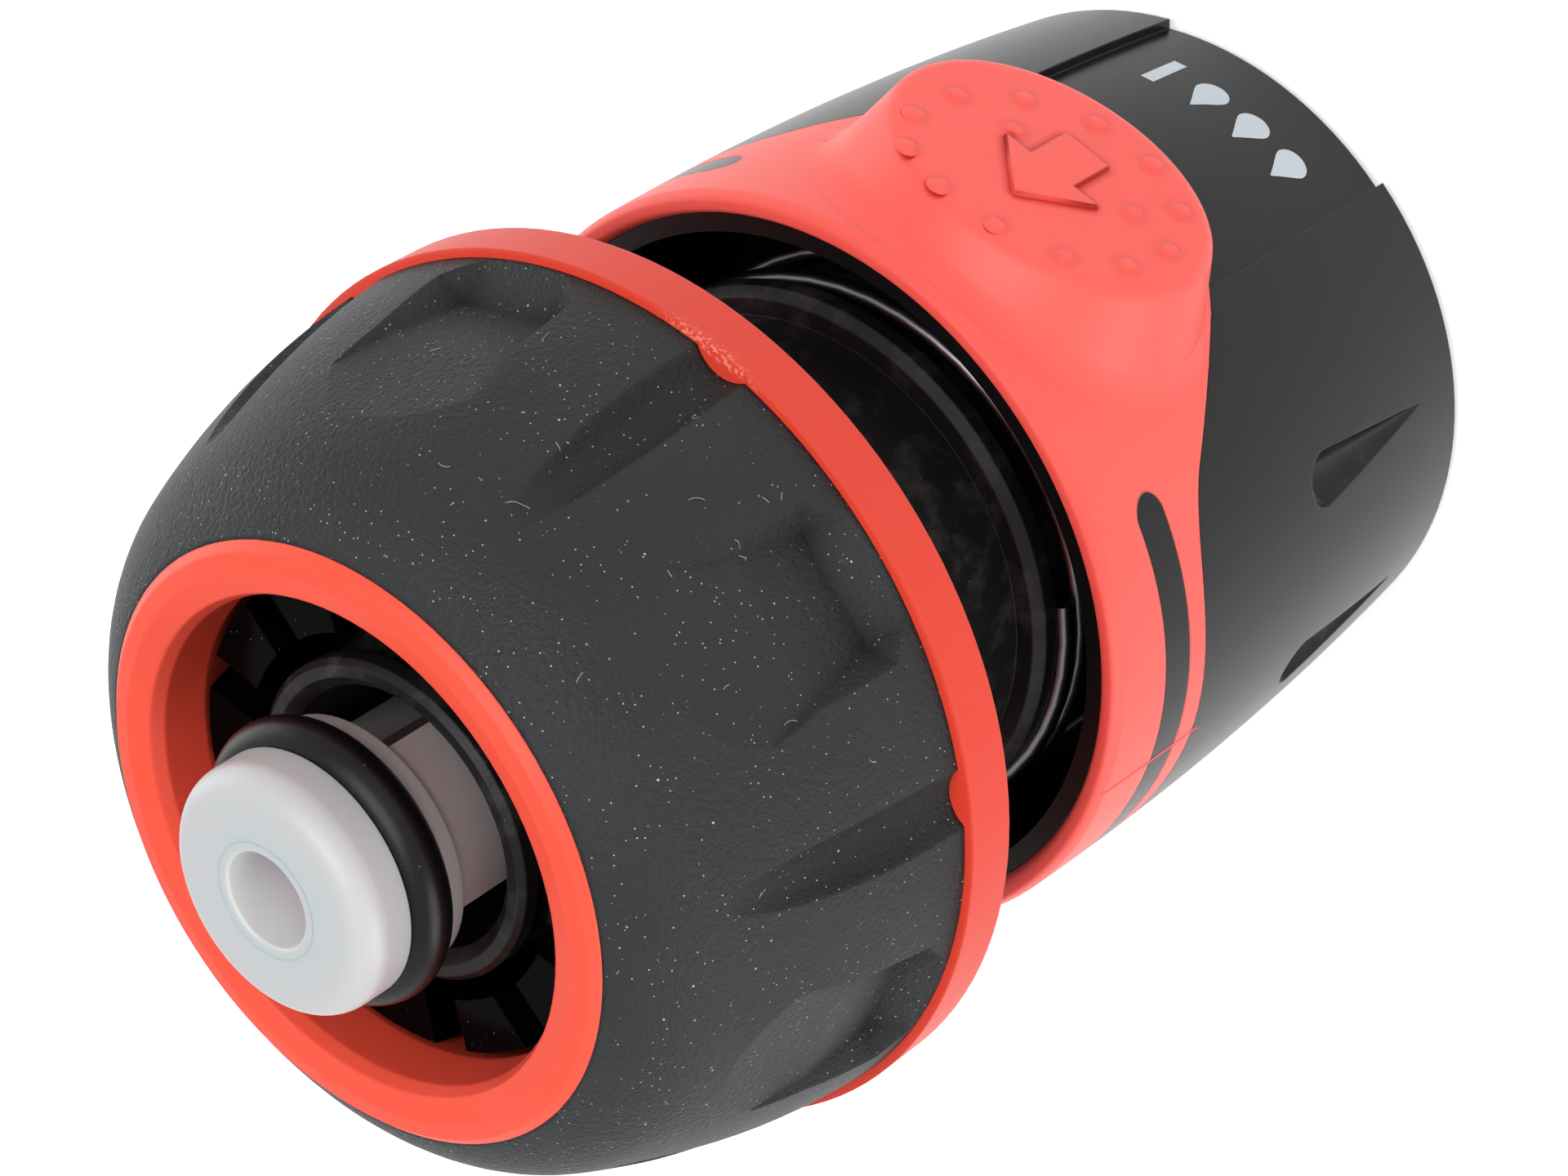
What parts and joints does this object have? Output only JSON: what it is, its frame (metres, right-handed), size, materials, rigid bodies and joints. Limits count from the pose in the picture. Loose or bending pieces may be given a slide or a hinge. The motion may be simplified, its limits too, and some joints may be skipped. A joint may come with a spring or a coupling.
{
  "type": "garden hose quick connector",
  "caption": "Garden hose quick connector with a water stop: threaded clamping nut with soft grip, barbed hose tail, spring-loaded release sleeve with thumb pads.",
  "frame": {"origin": "centre of the coupling end face, on the connector's axis", "axes": "+Z along the axis from the coupling end to the hose nut; one thumb pad faces -Y, the other +Y"},
  "size_m": [0.0362, 0.0362, 0.0561],
  "materials": {
    "black_body": "glossy black",
    "black_ring": "satin black",
    "acetal": "natural white",
    "satin_black": "satin black",
    "red_soft": "soft coral red",
    "spring_steel": "drawn wire",
    "red_hard": "fine-grained orange red",
    "black_soft": "matt grained black",
    "black_collet": "glossy black",
    "white_plunger": "satin white",
    "seal_rubber": "satin black"
  },
  "bodies": {
    "body": {"connector_body": "black_body", "retaining_ring": "black_ring", "sleeve_spring": "spring_steel"},
    "collet": {"collet": "black_collet"},
    "nut": {"nut_core": "red_hard", "nut_grip": "black_soft"},
    "sleeve": {"sleeve_shell": "satin_black", "sleeve_band": "red_soft"},
    "jaw_right": {"jaw_1": "acetal"},
    "jaw_back": {"jaw_2": "acetal"},
    "jaw_left": {"jaw_3": "acetal"},
    "jaw_front": {"jaw_4": "acetal"},
    "valve": {"valve_plunger": "white_plunger", "valve_seal": "seal_rubber"}
  },
  "joints": [
    {"name": "collet_slide", "type": "slide", "parent": "body", "child": "collet", "axis": [0, 0, 1], "range_m": [0, 0.00505]},
    {"name": "nut_turn", "type": "hinge", "parent": "collet", "child": "nut", "pos_m": [0, 0, 0.044], "axis": [0, 0, 1], "range_deg": [0, 600]},
    {"name": "sleeve_slide", "type": "slide", "parent": "body", "child": "sleeve", "axis": [0, 0, 1], "range_m": [0, 0.005], "stiffness_N_per_m": 800, "springref_m": -0.005, "deforming": ["sleeve_spring"]},
    {"name": "jaw_right_slide", "type": "slide", "parent": "body", "child": "jaw_right", "axis": [1, 0, 0], "range_m": [0, 0.00105]},
    {"name": "jaw_back_slide", "type": "slide", "parent": "body", "child": "jaw_back", "axis": [0, 1, 0], "range_m": [0, 0.00105]},
    {"name": "jaw_left_slide", "type": "slide", "parent": "body", "child": "jaw_left", "axis": [-1, 0, 0], "range_m": [0, 0.00105]},
    {"name": "jaw_front_slide", "type": "slide", "parent": "body", "child": "jaw_front", "axis": [0, -1, 0], "range_m": [0, 0.00105]},
    {"name": "valve_slide", "type": "slide", "parent": "body", "child": "valve", "axis": [0, 0, 1], "range_m": [-0.00275, 0]}
  ],
  "couplings": [
    {"joint": "collet_slide", "follows": "nut_turn", "m_per_rad": 0.00047746},
    {"joint": "jaw_right_slide", "follows": "sleeve_slide", "ratio": 0.2},
    {"joint": "jaw_back_slide", "follows": "sleeve_slide", "ratio": 0.2},
    {"joint": "jaw_left_slide", "follows": "sleeve_slide", "ratio": 0.2},
    {"joint": "jaw_front_slide", "follows": "sleeve_slide", "ratio": 0.2}
  ]
}
